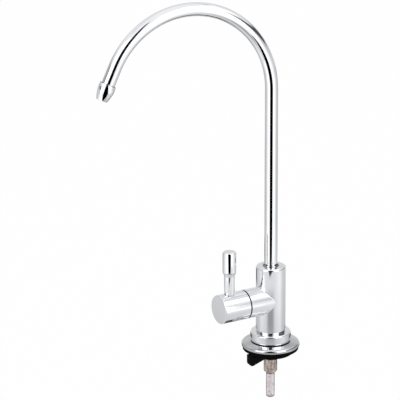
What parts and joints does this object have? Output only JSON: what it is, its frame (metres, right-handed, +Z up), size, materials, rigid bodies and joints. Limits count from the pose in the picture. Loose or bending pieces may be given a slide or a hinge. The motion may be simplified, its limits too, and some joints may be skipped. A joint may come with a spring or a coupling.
{
  "type": "drinking water filter tap",
  "caption": "Chrome drinking water tap with a tall swivelling gooseneck spout, a quarter turn side lever, a round cover plate and a winged clamp nut under the deck.",
  "frame": {"origin": "on the column's axis at the underside of the base gasket, which is the top of the deck", "axes": "+Z up along the column; the side branch with the lever points along -X; -Y is the side the lever tips to when it opens"},
  "size_m": [0.1675, 0.0477, 0.3318],
  "materials": {
    "chrome_column": "polished",
    "chrome_ring": "polished",
    "chrome_plate": "polished",
    "chrome_tube": "polished",
    "chrome_nozzle": "polished",
    "chrome_collar": "polished",
    "chrome_cap": "polished",
    "chrome_lever": "polished",
    "seal_rubber": "matte",
    "gasket_rubber": "matte",
    "inner_rubber": "matte",
    "washer_plastic": "moulded",
    "nut_plastic": "moulded",
    "glide_plastic": "moulded",
    "bush_plastic": "moulded",
    "bearing_plastic": "moulded",
    "stream_plastic": "moulded",
    "nickel_shank": "nickel plated",
    "nickel_stub": "nickel plated",
    "turned_brass": "turned",
    "screw_steel": "turned",
    "white_ceramic": "lapped"
  },
  "bodies": {
    "tap_body": {"body_column": "chrome_column", "base_ring": "chrome_ring", "ring_seal": "seal_rubber", "escutcheon_plate": "chrome_plate", "base_gasket": "gasket_rubber", "threaded_shank": "nickel_shank", "shank_o_ring": "inner_rubber", "inlet_stub": "nickel_stub", "inlet_seal": "inner_rubber", "spout_bush": "bush_plastic", "spout_collar": "chrome_collar", "cartridge_housing": "turned_brass", "cartridge_o_ring": "inner_rubber", "ceramic_disc_fixed": "white_ceramic", "cartridge_seat_seal": "inner_rubber", "glide_ring": "glide_plastic"},
    "spout": {"spout_tube": "chrome_tube", "spout_foot": "turned_brass", "spout_o_ring_lower": "inner_rubber", "spout_o_ring_upper": "inner_rubber", "spout_slip_ring": "bearing_plastic", "spout_nozzle": "chrome_nozzle", "nozzle_seal": "inner_rubber", "flow_straightener": "stream_plastic"},
    "lever": {"lever_cap": "chrome_cap", "lever_rod": "chrome_lever", "cap_set_screw": "screw_steel", "cartridge_spindle": "turned_brass", "ceramic_disc_moving": "white_ceramic", "spindle_o_ring": "inner_rubber"},
    "washer": {"clamp_washer": "washer_plastic"},
    "nut": {"wing_nut": "nut_plastic"}
  },
  "joints": [
    {"name": "spout_swivel", "type": "hinge", "parent": "tap_body", "child": "spout", "pos_m": [0, 0, 0.06], "axis": [0, 0, 1], "continuous": true},
    {"name": "lever_turn", "type": "hinge", "parent": "tap_body", "child": "lever", "pos_m": [0, 0, 0.04235], "axis": [1, 0, 0], "range_deg": [0, 90]},
    {"name": "clamp_travel", "type": "slide", "parent": "tap_body", "child": "washer", "axis": [0, 0, -1], "range_m": [0, 0.00794]},
    {"name": "nut_turn", "type": "hinge", "parent": "washer", "child": "nut", "pos_m": [0, 0, -0.005], "axis": [0, 0, -1], "range_deg": [0, 2250]}
  ],
  "couplings": [
    {"joint": "nut_turn", "follows": "clamp_travel", "rad_per_m": 4947.4}
  ]
}
